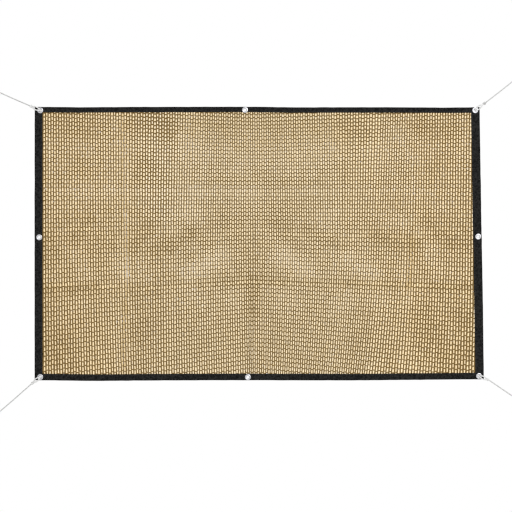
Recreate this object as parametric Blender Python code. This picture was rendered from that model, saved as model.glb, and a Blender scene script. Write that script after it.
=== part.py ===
"""Shade net: a knitted rectangular net panel, bound all round with folded tape, with a
metal eyelet at each corner and at the middle of each side. A rope is tied through each
corner eyelet and pulls that corner outwards.

The panel stands upright in the XZ plane and faces -Y. The origin is the middle of the
top edge, halfway through the tape. Metres, +Z up.
"""

import math
from collections import namedtuple

import bpy
from mathutils import Matrix, Vector

MM = 0.001

# Everything that touches lies this far from its neighbour.
GAP = 0.3 * MM

# Outline of the bound panel. Each row is a place along the edge and where the edge is.
EdgeRow = namedtuple("EdgeRow", "along place")
TOP_EDGE = (
    EdgeRow(along=-0.754, place=-0.0003),
    EdgeRow(along=-0.600, place=-0.0015),
    EdgeRow(along=-0.385, place=-0.0003),
    EdgeRow(along=-0.100, place=0.0003),
    EdgeRow(along=0.000, place=0.0),
    EdgeRow(along=0.100, place=-0.0018),
    EdgeRow(along=0.400, place=-0.0014),
    EdgeRow(along=0.640, place=-0.0026),
    EdgeRow(along=0.755, place=-0.0013),
)
BOTTOM_EDGE = (
    EdgeRow(along=-0.754, place=-0.9176),
    EdgeRow(along=-0.540, place=-0.9203),
    EdgeRow(along=-0.380, place=-0.9188),
    EdgeRow(along=-0.100, place=-0.9178),
    EdgeRow(along=0.310, place=-0.9185),
    EdgeRow(along=0.530, place=-0.9165),
    EdgeRow(along=0.755, place=-0.9146),
)
LEFT_EDGE = (
    EdgeRow(along=-0.920, place=-0.7535),
    EdgeRow(along=-0.500, place=-0.7537),
    EdgeRow(along=0.001, place=-0.7534),
)
RIGHT_EDGE = (
    EdgeRow(along=-0.920, place=0.7545),
    EdgeRow(along=-0.680, place=0.7518),
    EdgeRow(along=-0.350, place=0.7457),
    EdgeRow(along=0.001, place=0.7402),
)

# Binding tape: its width on each side, its folded thickness, and how far it holds the net.
TAPE_THICK = 3.4 * MM
TOP_TAPE_WIDE = 18.0 * MM
BOTTOM_TAPE_WIDE = 22.0 * MM
LEFT_TAPE_WIDE = 27.0 * MM
RIGHT_TAPE_WIDE = 29.0 * MM
TOP_HOLD = 1.6 * MM
BOTTOM_HOLD = 5.0 * MM
SIDE_HOLD = 4.0 * MM
SLOT_ROOM = 1.0 * MM
TAPE_BEVEL = 0.4 * MM
TAPE_STATIONS = 9

# Knitted net.
NET_THICK = 1.2 * MM
NET_FADE_START = 3.0 * MM
NET_FADE_END = 45.0 * MM
WIDEST_CELL = 78.0 * MM
MIDDLE_LEVEL = -0.46
CROSSING_ROUNDS = 4

# Creases that the packed net kept. A route's rows run down the panel or across it. A rise
# above zero stands out towards the viewer, and below zero it is a trough.
FoldRow = namedtuple("FoldRow", "along place")
Fold = namedtuple("Fold", "rise half_width route")
UPRIGHT_FOLDS = (
    Fold(4.5 * MM, 34.0 * MM, (FoldRow(-0.92, -0.452), FoldRow(0.0, -0.456))),
    Fold(
        -4.0 * MM,
        36.0 * MM,
        (FoldRow(-0.92, -0.300), FoldRow(-0.42, -0.280), FoldRow(0.0, -0.257)),
    ),
    Fold(
        4.0 * MM,
        30.0 * MM,
        (FoldRow(-0.92, -0.020), FoldRow(-0.45, -0.014), FoldRow(0.0, -0.012)),
    ),
    Fold(
        5.0 * MM,
        36.0 * MM,
        (
            FoldRow(-0.92, 0.250),
            FoldRow(-0.53, 0.257),
            FoldRow(-0.27, 0.285),
            FoldRow(-0.14, 0.277),
            FoldRow(0.0, 0.190),
        ),
    ),
    Fold(
        4.5 * MM,
        34.0 * MM,
        (
            FoldRow(-0.92, 0.468),
            FoldRow(-0.50, 0.506),
            FoldRow(-0.27, 0.528),
            FoldRow(-0.15, 0.525),
            FoldRow(0.0, 0.440),
        ),
    ),
)
LEVEL_FOLDS = (
    Fold(4.5 * MM, 30.0 * MM, (FoldRow(-0.76, -0.268), FoldRow(0.76, -0.266))),
    Fold(
        -4.5 * MM,
        32.0 * MM,
        (
            FoldRow(-0.76, -0.440),
            FoldRow(-0.58, -0.402),
            FoldRow(-0.47, -0.450),
            FoldRow(-0.36, -0.408),
            FoldRow(-0.235, -0.428),
            FoldRow(-0.165, -0.450),
            FoldRow(-0.060, -0.412),
            FoldRow(0.065, -0.412),
            FoldRow(0.125, -0.450),
            FoldRow(0.200, -0.418),
            FoldRow(0.295, -0.448),
            FoldRow(0.405, -0.415),
            FoldRow(0.500, -0.450),
            FoldRow(0.590, -0.405),
            FoldRow(0.760, -0.445),
        ),
    ),
    Fold(
        -5.0 * MM,
        30.0 * MM,
        (
            FoldRow(-0.76, -0.598),
            FoldRow(-0.37, -0.606),
            FoldRow(-0.12, -0.588),
            FoldRow(0.10, -0.588),
            FoldRow(0.40, -0.596),
            FoldRow(0.76, -0.600),
        ),
    ),
)

# Soft swellings and dimples between the creases.
Swell = namedtuple("Swell", "x z wide tall rise")
SWELLS = (
    Swell(-0.590, -0.515, 0.065, 0.055, 4.0 * MM),
    Swell(-0.400, -0.525, 0.055, 0.050, 4.0 * MM),
    Swell(-0.165, -0.530, 0.075, 0.055, 6.0 * MM),
    Swell(0.125, -0.530, 0.075, 0.055, 6.0 * MM),
    Swell(0.335, -0.528, 0.075, 0.055, 5.5 * MM),
    Swell(0.590, -0.515, 0.065, 0.055, 4.5 * MM),
    Swell(-0.018, -0.660, 0.036, 0.095, -9.0 * MM),
    Swell(-0.130, -0.140, 0.150, 0.090, 3.5 * MM),
    Swell(0.390, -0.170, 0.090, 0.080, 3.0 * MM),
    Swell(-0.600, -0.150, 0.120, 0.080, -3.0 * MM),
    Swell(-0.370, -0.330, 0.070, 0.050, 2.5 * MM),
    Swell(-0.590, -0.780, 0.120, 0.100, -3.5 * MM),
    Swell(-0.160, -0.790, 0.120, 0.090, 3.0 * MM),
    Swell(0.120, -0.790, 0.110, 0.090, 3.0 * MM),
    Swell(0.360, -0.760, 0.090, 0.100, -3.0 * MM),
    Swell(0.620, -0.780, 0.100, 0.100, 3.0 * MM),
)

# Eyelets: a barrel through the tape, spread to a flange on each face.
EYELET_HOLE_R = 4.75 * MM
EYELET_BARREL_R = 5.25 * MM
EYELET_R = 9.75 * MM
EYELET_FLANGE = 0.9 * MM
EYELET_FLAT_IN = 5.9 * MM
EYELET_FLAT_OUT = 8.6 * MM
EYELET_RIM_BEVEL = 0.15 * MM
EYELET_RIM_SHARE = 0.55
EYELET_THROAT_SHARE = 0.55
EYELET_SIDES = 16
CUTTER_SIDES = 20
Place = namedtuple("Place", "name x z")
SIDE_EYELETS = (
    Place("top_middle", -0.0472, -0.0108),
    Place("middle_left", -0.7377, -0.4381),
    Place("middle_right", 0.7351, -0.4358),
    Place("bottom_middle", -0.0375, -0.9073),
)

# Corner ropes: eyelet, tying knot, and the place where the rope has left the picture.
ROPE_R = 2.1 * MM
ROPE_BEVEL_STEPS = 2
ROPE_POINT_EVERY = 10.0 * MM
TURN_POINT_EVERY = 4.2 * MM
CURVE_STEPS = 20
KNOT_RUN_IN = 1.5 * MM
SLANTED_GAP = 0.75 * MM
STRAND_OFF = ROPE_R + GAP / 2
Corner = namedtuple("Corner", "name eyelet knot knot_half leaves")
CORNERS = (
    Corner("top_left", (-0.7343, -0.0121), (-0.7653, 0.0017), 4.5 * MM, (-0.872, 0.0492)),
    Corner("top_right", (0.7252, -0.0118), (0.7566, 0.0113), 6.0 * MM, (0.855, 0.0886)),
    Corner("bottom_left", (-0.7343, -0.9069), (-0.7611, -0.9278), 4.5 * MM, (-0.872, -1.0240)),
    Corner("bottom_right", (0.7380, -0.9035), (0.7686, -0.9159), 4.5 * MM, (0.855, -0.9734)),
)
PAST_PICTURE = 20.0 * MM
END_KNOT_HALF = 5.0 * MM
ROPE_SAG = 0.8 * MM

# One turn of rope through a corner eyelet, on the front: how far towards the knot, how far
# off the line to it, and how deep. The back is the same, mirrored in Y.
TurnRow = namedtuple("TurnRow", "towards off depth")
TURN_IN_EYELET = (
    TurnRow(0.0, STRAND_OFF, 0.0),
    TurnRow(0.1 * MM, STRAND_OFF, 1.6 * MM),
    TurnRow(0.9 * MM, STRAND_OFF, 3.9 * MM),
    TurnRow(3.4 * MM, 2.6 * MM, 5.5 * MM),
    TurnRow(8.0 * MM, 3.8 * MM, 5.7 * MM),
    TurnRow(14.0 * MM, 4.8 * MM, 5.0 * MM),
    TurnRow(20.0 * MM, 4.6 * MM, 4.4 * MM),
    TurnRow(23.0 * MM, 3.7 * MM, 4.1 * MM),
)

# The loop tied in the far end of each rope, as seen along its own line.
LoopRow = namedtuple("LoopRow", "towards off")
END_LOOP = (
    LoopRow(0.0, STRAND_OFF),
    LoopRow(1.5 * MM, STRAND_OFF),
    LoopRow(5.5 * MM, 3.6 * MM),
    LoopRow(12.0 * MM, 6.9 * MM),
    LoopRow(20.0 * MM, 8.9 * MM),
    LoopRow(27.0 * MM, 7.4 * MM),
    LoopRow(31.0 * MM, 3.6 * MM),
    LoopRow(32.0 * MM, 0.0),
)

# Knot outline: share of its half length, and radius. It swells over three turns of rope.
KnotRow = namedtuple("KnotRow", "share radius")
KNOT_ROWS = (
    KnotRow(-1.00, 4.7 * MM),
    KnotRow(-0.80, 5.5 * MM),
    KnotRow(-0.52, 5.5 * MM),
    KnotRow(-0.34, 4.8 * MM),
    KnotRow(-0.10, 5.6 * MM),
    KnotRow(0.18, 5.5 * MM),
    KnotRow(0.36, 4.6 * MM),
    KnotRow(0.62, 4.7 * MM),
    KnotRow(0.86, 3.6 * MM),
    KnotRow(1.00, 2.2 * MM),
)
KNOT_SIDES = 12

Finish = namedtuple("Finish", "colour roughness metallic")
FINISHES = {
    "net": Finish((0.36, 0.25, 0.11), 0.55, 0.0),
    "tape": Finish((0.018, 0.019, 0.021), 0.8, 0.0),
    "eyelet": Finish((0.80, 0.81, 0.82), 0.25, 1.0),
    "rope": Finish((0.82, 0.82, 0.80), 0.7, 0.0),
}


def clear_scene():
    for obj in list(bpy.data.objects):
        bpy.data.objects.remove(obj)


def material(name):
    finish = FINISHES[name]
    made = bpy.data.materials.new(name)
    made.use_nodes = True
    shader = made.node_tree.nodes["Principled BSDF"]
    shader.inputs["Base Color"].default_value = (*finish.colour, 1.0)
    shader.inputs["Roughness"].default_value = finish.roughness
    shader.inputs["Metallic"].default_value = finish.metallic
    return made


def add_object(name, data, finish):
    obj = bpy.data.objects.new(name, data)
    bpy.context.scene.collection.objects.link(obj)
    if not data.materials:
        data.materials.append(finish)
    return obj


def add_mesh(name, points, faces, finish):
    mesh = bpy.data.meshes.new(name)
    mesh.from_pydata(points, [], faces)
    mesh.shade_smooth()
    mesh.set_sharp_from_angle(angle=math.radians(40))
    return add_object(name, mesh, finish)


def read_rows(rows, at):
    """The place on a line through the rows, which are in order of their first column."""
    if at <= rows[0].along:
        return rows[0].place
    for low, high in zip(rows, rows[1:]):
        if at <= high.along:
            share = (at - low.along) / (high.along - low.along)
            return low.place + share * (high.place - low.place)
    return rows[-1].place


def smooth_route(points, every):
    """Points of a smooth curve through the given ones, about one step apart."""
    ends = [2 * points[0] - points[1], *points, 2 * points[-1] - points[-2]]
    fine = []
    for before, start, end, after in zip(ends, ends[1:], ends[2:], ends[3:]):
        for step in range(CURVE_STEPS):
            t = step / CURVE_STEPS
            fine.append(
                0.5
                * (
                    2 * start
                    + (end - before) * t
                    + (2 * before - 5 * start + 4 * end - after) * t**2
                    + (3 * start - before - 3 * end + after) * t**3
                )
            )
    fine.append(points[-1].copy())
    lengths = [0.0]
    for a, b in zip(fine, fine[1:]):
        lengths.append(lengths[-1] + (b - a).length)
    count = max(2, round(lengths[-1] / every))
    route = []
    k = 0
    for step in range(count + 1):
        target = lengths[-1] * step / count
        while k < len(fine) - 2 and lengths[k + 1] < target:
            k += 1
        share = (target - lengths[k]) / (lengths[k + 1] - lengths[k])
        route.append(fine[k].lerp(fine[k + 1], min(share, 1.0)))
    return route


# Net panel.


def relief(x, z):
    """How far the net stands out towards the viewer there, fading out at the tape."""
    height = 0.0
    for fold in UPRIGHT_FOLDS:
        off = abs(x - read_rows(fold.route, z)) / fold.half_width
        height += fold.rise * max(0.0, 1.0 - off) ** 2
    for fold in LEVEL_FOLDS:
        off = abs(z - read_rows(fold.route, x)) / fold.half_width
        height += fold.rise * max(0.0, 1.0 - off) ** 2
    for swell in SWELLS:
        off = math.hypot((x - swell.x) / swell.wide, (z - swell.z) / swell.tall)
        if off < 1.0:
            height += swell.rise * 0.5 * (1.0 + math.cos(math.pi * off))
    inside = min(
        x - read_rows(LEFT_EDGE, z) - LEFT_TAPE_WIDE,
        read_rows(RIGHT_EDGE, z) - RIGHT_TAPE_WIDE - x,
        read_rows(TOP_EDGE, x) - TOP_TAPE_WIDE - z,
        z - read_rows(BOTTOM_EDGE, x) - BOTTOM_TAPE_WIDE,
    )
    share = (inside - NET_FADE_START) / (NET_FADE_END - NET_FADE_START)
    share = min(1.0, max(0.0, share))
    return height * share * share * (3.0 - 2.0 * share)


def net_lines(low, low_hold, folds, high, high_hold, middle):
    """The grid lines one way, where they cross the given place: both edges, a line just
    inside each tape, five lines on each fold, and plain lines that fill the wide spaces.
    Their count is set at the panel's middle and is the same everywhere."""

    def anchors(at):
        found = [low(at), low(at) + low_hold + NET_FADE_START]
        for fold in folds:
            crest = read_rows(fold.route, at)
            for share in (-1.0, -1 / 3, 0.0, 1 / 3, 1.0):
                found.append(crest + share * fold.half_width)
        return [*found, high(at) - high_hold - NET_FADE_START, high(at)]

    usual = anchors(middle)
    cells = [max(1, math.ceil((b - a) / WIDEST_CELL)) for a, b in zip(usual, usual[1:])]

    def lines(at):
        places = anchors(at)
        found = [places[0]]
        for a, b, count in zip(places, places[1:], cells):
            found += [a + (b - a) * (k + 1) / count for k in range(count)]
        return found

    return lines


def make_net(finish):
    ordered = sorted(LEVEL_FOLDS, key=lambda fold: fold.route[0].place)
    columns = net_lines(
        lambda z: read_rows(LEFT_EDGE, z) + LEFT_TAPE_WIDE - SIDE_HOLD,
        SIDE_HOLD,
        UPRIGHT_FOLDS,
        lambda z: read_rows(RIGHT_EDGE, z) - RIGHT_TAPE_WIDE + SIDE_HOLD,
        SIDE_HOLD,
        MIDDLE_LEVEL,
    )
    rows = net_lines(
        lambda x: read_rows(BOTTOM_EDGE, x) + BOTTOM_TAPE_WIDE - BOTTOM_HOLD,
        BOTTOM_HOLD,
        ordered,
        lambda x: read_rows(TOP_EDGE, x) - TOP_TAPE_WIDE + TOP_HOLD,
        TOP_HOLD,
        0.0,
    )
    wide = len(columns(0.0))
    tall = len(rows(0.0))
    front, back = [], []
    for j in range(tall):
        for i in range(wide):
            # The two lines' crossing: each is slightly slanted, so a few rounds find it.
            z = rows(0.0)[j]
            for _ in range(CROSSING_ROUNDS):
                x = columns(z)[i]
                z = rows(x)[j]
            y = -relief(x, z)
            front.append((x, y - NET_THICK / 2, z))
            back.append((x, y + NET_THICK / 2, z))
    shift = wide * tall

    def at(i, j):
        return j * wide + i

    faces = []
    for j in range(tall - 1):
        for i in range(wide - 1):
            quad = (at(i, j), at(i + 1, j), at(i + 1, j + 1), at(i, j + 1))
            faces.append(quad)
            faces.append(tuple(shift + k for k in reversed(quad)))
    rim = [at(i, 0) for i in range(wide)]
    rim += [at(wide - 1, j) for j in range(1, tall)]
    rim += [at(i, tall - 1) for i in range(wide - 2, -1, -1)]
    rim += [at(0, j) for j in range(tall - 2, 0, -1)]
    for a, b in zip(rim, rim[1:] + rim[:1]):
        faces.append((b, a, shift + a, shift + b))
    return add_mesh("net_panel", front + back, faces, finish)


# Binding tape.


def tape_section(wide, hold):
    """Points across a folded tape: distance in from its outer edge, and depth. The fold is
    round, and a slot on the inner edge holds the net."""
    half = TAPE_THICK / 2
    slot = NET_THICK / 2 + GAP
    floor = wide - hold - SLOT_ROOM
    return (
        (0.0, -0.35 * half),
        (0.25 * half, -0.8 * half),
        (0.9 * half, -half),
        (wide - TAPE_BEVEL, -half),
        (wide, -half + TAPE_BEVEL),
        (wide, -slot),
        (floor, -slot),
        (floor, slot),
        (wide, slot),
        (wide, half - TAPE_BEVEL),
        (wide - TAPE_BEVEL, half),
        (0.9 * half, half),
        (0.25 * half, 0.8 * half),
        (0.0, 0.35 * half),
    )


def make_tape(name, section, place, finish):
    """A strip swept along the panel's edge. place(share, inwards) is a point in X and Z."""
    points = []
    for station in range(TAPE_STATIONS):
        for inwards, depth in section:
            x, z = place(station / (TAPE_STATIONS - 1), inwards)
            points.append((x, depth, z))
    count = len(section)
    faces = [tuple(range(count))]
    for station in range(TAPE_STATIONS - 1):
        for k in range(count):
            a = station * count + k
            b = station * count + (k + 1) % count
            faces.append((a, a + count, b + count, b))
    last = (TAPE_STATIONS - 1) * count
    faces.append(tuple(reversed(range(last, last + count))))
    if signed_volume(points, faces) < 0:
        faces = [tuple(reversed(face)) for face in faces]
    return add_mesh(name, points, faces, finish)


def signed_volume(points, faces):
    total = 0.0
    for face in faces:
        first = Vector(points[face[0]])
        for a, b in zip(face[1:], face[2:]):
            total += first.dot(Vector(points[a]).cross(Vector(points[b])))
    return total


def top_tape_place(share, inwards):
    left = read_rows(LEFT_EDGE, -inwards) + LEFT_TAPE_WIDE + GAP
    right = read_rows(RIGHT_EDGE, -inwards) - RIGHT_TAPE_WIDE - GAP
    x = left + share * (right - left)
    return x, read_rows(TOP_EDGE, x) - inwards


def bottom_tape_place(share, inwards):
    level = read_rows(BOTTOM_EDGE, 0.0) + inwards
    left = read_rows(LEFT_EDGE, level) + LEFT_TAPE_WIDE + GAP
    right = read_rows(RIGHT_EDGE, level) - RIGHT_TAPE_WIDE - GAP
    x = left + share * (right - left)
    return x, read_rows(BOTTOM_EDGE, x) + inwards


def side_tape_place(edge, inward_sign):
    def place(share, inwards):
        level = share * read_rows(BOTTOM_EDGE, edge[0].place)
        x = read_rows(edge, level) + inward_sign * inwards
        low = read_rows(BOTTOM_EDGE, x)
        high = read_rows(TOP_EDGE, x)
        return x, high + share * (low - high)

    return place


def cut_hole(tape, place):
    """A round hole through the tape for an eyelet's barrel."""
    radius = EYELET_BARREL_R + GAP
    reach = 2 * TAPE_THICK
    points = []
    for y in (-reach, reach):
        for k in range(CUTTER_SIDES):
            turn = 2 * math.pi * k / CUTTER_SIDES
            points.append((place.x + radius * math.cos(turn), y, place.z + radius * math.sin(turn)))
    faces = [tuple(range(CUTTER_SIDES)), tuple(reversed(range(CUTTER_SIDES, 2 * CUTTER_SIDES)))]
    for k in range(CUTTER_SIDES):
        nxt = (k + 1) % CUTTER_SIDES
        faces.append((nxt, k, CUTTER_SIDES + k, CUTTER_SIDES + nxt))
    if signed_volume(points, faces) < 0:
        faces = [tuple(reversed(face)) for face in faces]
    mesh = bpy.data.meshes.new(f"cutter_{place.name}")
    mesh.from_pydata(points, [], faces)
    cutter = bpy.data.objects.new(f"cutter_{place.name}", mesh)
    bpy.context.scene.collection.objects.link(cutter)
    cutter.hide_render = True
    cutter.display_type = "WIRE"
    cut = tape.modifiers.new(f"hole_{place.name}", "BOOLEAN")
    cut.object = cutter
    cut.operation = "DIFFERENCE"
    cut.solver = "EXACT"


def make_tapes(finish):
    places = {place.name: place for place in (*SIDE_EYELETS, *corner_places())}
    tapes = (
        ("tape_top", TOP_TAPE_WIDE, TOP_HOLD, top_tape_place, ("top_middle",)),
        ("tape_bottom", BOTTOM_TAPE_WIDE, BOTTOM_HOLD, bottom_tape_place, ("bottom_middle",)),
        (
            "tape_left",
            LEFT_TAPE_WIDE,
            SIDE_HOLD,
            side_tape_place(LEFT_EDGE, 1),
            ("top_left", "middle_left", "bottom_left"),
        ),
        (
            "tape_right",
            RIGHT_TAPE_WIDE,
            SIDE_HOLD,
            side_tape_place(RIGHT_EDGE, -1),
            ("top_right", "middle_right", "bottom_right"),
        ),
    )
    for name, wide, hold, place, holes in tapes:
        tape = make_tape(name, tape_section(wide, hold), place, finish)
        for hole in holes:
            cut_hole(tape, places[hole])


# Eyelets.


def corner_places():
    return [Place(corner.name, *corner.eyelet) for corner in CORNERS]


def eyelet_section():
    """Points around the ring's cross-section: radius and depth. It has a flange on both
    faces with a flat land, and a barrel between them."""
    inner = TAPE_THICK / 2 + GAP
    outer = inner + EYELET_FLANGE
    front = (
        (EYELET_BARREL_R, -inner),
        (EYELET_R, -inner),
        (EYELET_R - EYELET_RIM_BEVEL, -inner - EYELET_RIM_SHARE * EYELET_FLANGE),
        (EYELET_FLAT_OUT, -outer),
        (EYELET_FLAT_IN, -outer),
        (EYELET_HOLE_R, -inner - EYELET_THROAT_SHARE * EYELET_FLANGE),
    )
    back = tuple((radius, -depth) for radius, depth in reversed(front))
    return front + back


def make_eyelets(finish):
    section = eyelet_section()
    count = len(section)
    points = []
    for k in range(EYELET_SIDES):
        turn = 2 * math.pi * k / EYELET_SIDES
        for radius, depth in section:
            points.append((radius * math.cos(turn), depth, radius * math.sin(turn)))
    faces = []
    for k in range(EYELET_SIDES):
        here = k * count
        there = ((k + 1) % EYELET_SIDES) * count
        for m in range(count):
            nxt = (m + 1) % count
            faces.append((here + m, here + nxt, there + nxt, there + m))
    if signed_volume(points, faces) < 0:
        faces = [tuple(reversed(face)) for face in faces]
    shared = None
    for place in (*SIDE_EYELETS, *corner_places()):
        if shared is None:
            eyelet = add_mesh(f"eyelet_{place.name}", points, faces, finish)
            shared = eyelet.data
        else:
            eyelet = add_object(f"eyelet_{place.name}", shared, finish)
        eyelet.location = (place.x, 0.0, place.z)


# Ropes.


def in_plane(point):
    return Vector((point[0], 0.0, point[1]))


def make_tube(name, route, finish):
    curve = bpy.data.curves.new(name, "CURVE")
    curve.dimensions = "3D"
    curve.bevel_depth = ROPE_R
    curve.bevel_resolution = ROPE_BEVEL_STEPS
    curve.use_fill_caps = True
    spline = curve.splines.new("POLY")
    spline.points.add(len(route) - 1)
    for point, place in zip(spline.points, route):
        point.co = (*place, 1.0)
    return add_object(name, curve, finish)


def make_knot(name, middle, direction, half, finish):
    """A knot as a body of turned outline, its wide end facing back along direction."""
    points = []
    for row in KNOT_ROWS:
        for k in range(KNOT_SIDES):
            turn = 2 * math.pi * k / KNOT_SIDES
            points.append(
                (row.radius * math.cos(turn), row.radius * math.sin(turn), row.share * half)
            )
    faces = [tuple(reversed(range(KNOT_SIDES)))]
    for row in range(len(KNOT_ROWS) - 1):
        for k in range(KNOT_SIDES):
            a = row * KNOT_SIDES + k
            b = row * KNOT_SIDES + (k + 1) % KNOT_SIDES
            faces.append((a, b, b + KNOT_SIDES, a + KNOT_SIDES))
    last = (len(KNOT_ROWS) - 1) * KNOT_SIDES
    faces.append(tuple(range(last, last + KNOT_SIDES)))
    knot = add_mesh(name, points, faces, finish)
    across = Vector((0.0, 1.0, 0.0))
    turn = Matrix((across.cross(direction), across, direction)).transposed()
    knot.matrix_world = Matrix.Translation(middle) @ turn.to_4x4()
    return knot


def turn_route(eyelet, direction, reach, side):
    """The line of one turn: knot, front of the tape, eyelet, back of the tape, knot."""
    across = Vector((0.0, 1.0, 0.0)).cross(direction) * side
    depth = Vector((0.0, -1.0, 0.0))
    half = [
        eyelet + row.towards * direction + row.off * across + row.depth * depth
        for row in TURN_IN_EYELET
    ]
    for towards in (reach - KNOT_RUN_IN, reach):
        half.append(eyelet + towards * direction + STRAND_OFF * across + STRAND_OFF * depth)
    mirrored = [Vector((point.x, -point.y, point.z)) for point in half[1:]]
    return [*reversed(half), *mirrored]


def make_ropes(finish):
    for corner in CORNERS:
        eyelet = in_plane(corner.eyelet)
        knot = in_plane(corner.knot)
        leaves = in_plane(corner.leaves)
        pull = (knot - eyelet).normalized()
        reach = (knot - eyelet).length - corner.knot_half - SLANTED_GAP
        for letter, side in (("a", 1), ("b", -1)):
            route = smooth_route(turn_route(eyelet, pull, reach, side), TURN_POINT_EVERY)
            make_tube(f"rope_turn_{letter}_{corner.name}", route, finish)
        make_knot(f"rope_knot_{corner.name}", knot, pull, corner.knot_half, finish)

        lean = pull.angle(leaves - knot)
        start = knot + pull * (corner.knot_half + GAP + ROPE_R * math.sin(lean))
        end = leaves + (leaves - start).normalized() * PAST_PICTURE
        middle = start.lerp(end, 0.5) - Vector((0.0, 0.0, ROPE_SAG))
        run = smooth_route([start, middle, end], ROPE_POINT_EVERY)
        make_tube(f"rope_{corner.name}", run, finish)

        last = (run[-1] - run[-2]).normalized()
        end_knot = end + last * (GAP + END_KNOT_HALF)
        make_knot(f"rope_end_knot_{corner.name}", end_knot, -last, END_KNOT_HALF, finish)
        foot = end_knot + last * (END_KNOT_HALF + SLANTED_GAP)
        across = Vector((0.0, 1.0, 0.0)).cross(last)
        half = [foot + row.towards * last + row.off * across for row in END_LOOP]
        other = [foot + row.towards * last - row.off * across for row in END_LOOP[:-1]]
        loop = smooth_route([*half, *reversed(other)], TURN_POINT_EVERY)
        make_tube(f"rope_end_loop_{corner.name}", loop, finish)


def main():
    clear_scene()
    make_net(material("net"))
    make_tapes(material("tape"))
    make_eyelets(material("eyelet"))
    make_ropes(material("rope"))


main()
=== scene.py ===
import math

import bmesh
import bpy
import numpy as np
from mathutils import Matrix, Vector
from mathutils.bvhtree import BVHTree


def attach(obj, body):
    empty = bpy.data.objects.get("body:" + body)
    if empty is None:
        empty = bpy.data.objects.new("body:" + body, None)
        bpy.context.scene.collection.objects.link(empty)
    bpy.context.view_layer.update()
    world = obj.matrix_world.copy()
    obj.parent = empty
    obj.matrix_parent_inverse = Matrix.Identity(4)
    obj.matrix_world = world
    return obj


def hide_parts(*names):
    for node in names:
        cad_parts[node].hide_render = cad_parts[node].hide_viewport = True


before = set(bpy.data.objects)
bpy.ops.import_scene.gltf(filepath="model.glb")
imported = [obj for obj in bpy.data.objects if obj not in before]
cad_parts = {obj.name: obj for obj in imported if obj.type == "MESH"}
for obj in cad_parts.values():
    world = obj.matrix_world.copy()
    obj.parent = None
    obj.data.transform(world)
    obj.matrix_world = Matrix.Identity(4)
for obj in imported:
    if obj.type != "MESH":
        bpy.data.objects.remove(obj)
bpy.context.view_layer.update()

# Camera. It looks straight at the net's face, level with the middle of the picture, from far
# enough away that the panel's sides stay nearly parallel.
CAMERA_LENS_MM = 85.0
CAMERA_SENSOR_MM = 36.0
PICTURE_MIDDLE_X = -0.0103
PICTURE_MIDDLE_Z = -0.5008
PICTURE_WIDE = 1.7186
camera_away = PICTURE_WIDE * CAMERA_LENS_MM / CAMERA_SENSOR_MM
bpy.ops.object.camera_add(
    location=(PICTURE_MIDDLE_X, -camera_away, PICTURE_MIDDLE_Z),
    rotation=(math.radians(90.0), 0.0, 0.0),
)
camera = bpy.context.object
camera.name = "camera"
camera.data.lens = CAMERA_LENS_MM
camera.data.sensor_width = CAMERA_SENSOR_MM
bpy.context.scene.camera = camera

# Corner ropes. Each corner is pulled outwards by a light rope of three strands laid together. It
# goes twice through the corner's eyelet and round the tape, is knotted just outside it, and runs
# on taut to a loop tied in its far end.
MM = 0.001
GAP = 0.3 * MM
ROPE_R = 2.1 * MM
ROPE_LAY = 13.0 * MM
STRANDS = 3
STRAND_RADII = (0.80, 0.95, 1.0, 1.0, 1.0, 0.95)
ROPE_SIDES = STRANDS * len(STRAND_RADII)
ROPE_STEP = 1.4 * MM
ROUTE_FINE = 20
ANY_SIDE = (0.31, 0.88, 0.36)
KNOT_STEP = 0.8 * MM
STRAND_OFF = ROPE_R + GAP / 2
KNOT_RUN_IN = 1.5 * MM
KNOT_TUCK = 2.4 * MM
SLANTED_GAP = 0.75 * MM
PAST_PICTURE = 20.0 * MM
END_KNOT_HALF = 5.0 * MM
KNOT_R = 5.6 * MM
KNOT_POINTS = 60
ROPE_SAG = 0.8 * MM
FIBRES_ROUND = 27
FIBRE_LAY = 1.9 * MM
FIBRES_IN_TONES = 0.10
ROPE_GREY = (0.50, 0.50, 0.50)
# Two copies of one rope's tones. The greyer pair is painted shade, for the taut runs, the end knots and
# loops, and the top right knot. The brighter pair is painted light, for the turns through the eyelets
# and their other knots.
SHADED_ROPE_TONES = ((0.40, 0.40, 0.39), (0.58, 0.58, 0.58))
LIT_ROPE_TONES = ((0.52, 0.52, 0.51), (0.76, 0.76, 0.76))

# Each corner: its name, its eyelet, the middle of its knot, half the knot's length, and where
# the rope leaves the picture.
CORNERS = (
    ("top_left", (-0.7343, -0.0121), (-0.7653, 0.0017), 4.5 * MM, (-0.872, 0.0492)),
    ("top_right", (0.7252, -0.0118), (0.7566, 0.0113), 6.0 * MM, (0.855, 0.0886)),
    ("bottom_left", (-0.7343, -0.9069), (-0.7611, -0.9278), 4.5 * MM, (-0.872, -1.0240)),
    ("bottom_right", (0.7380, -0.9035), (0.7686, -0.9159), 4.5 * MM, (0.855, -0.9734)),
)

# One turn through the eyelet: how far towards the knot, how far off the line to it, how deep.
TURN_IN_EYELET = (
    (0.0, STRAND_OFF, 0.0),
    (0.1 * MM, STRAND_OFF, 1.6 * MM),
    (0.9 * MM, STRAND_OFF, 3.9 * MM),
    (3.4 * MM, 2.6 * MM, 5.5 * MM),
    (8.0 * MM, 3.8 * MM, 5.7 * MM),
    (14.0 * MM, 4.8 * MM, 5.0 * MM),
    (20.0 * MM, 4.6 * MM, 4.4 * MM),
    (23.0 * MM, 3.7 * MM, 4.1 * MM),
)

# Half of the end loop: how far along the rope's line, and how far off it.
END_LOOP = (
    (-KNOT_TUCK, STRAND_OFF),
    (1.5 * MM, STRAND_OFF),
    (5.5 * MM, 3.6 * MM),
    (12.0 * MM, 6.9 * MM),
    (20.0 * MM, 8.9 * MM),
    (27.0 * MM, 7.4 * MM),
    (31.0 * MM, 3.6 * MM),
    (32.0 * MM, 0.0),
)


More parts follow.
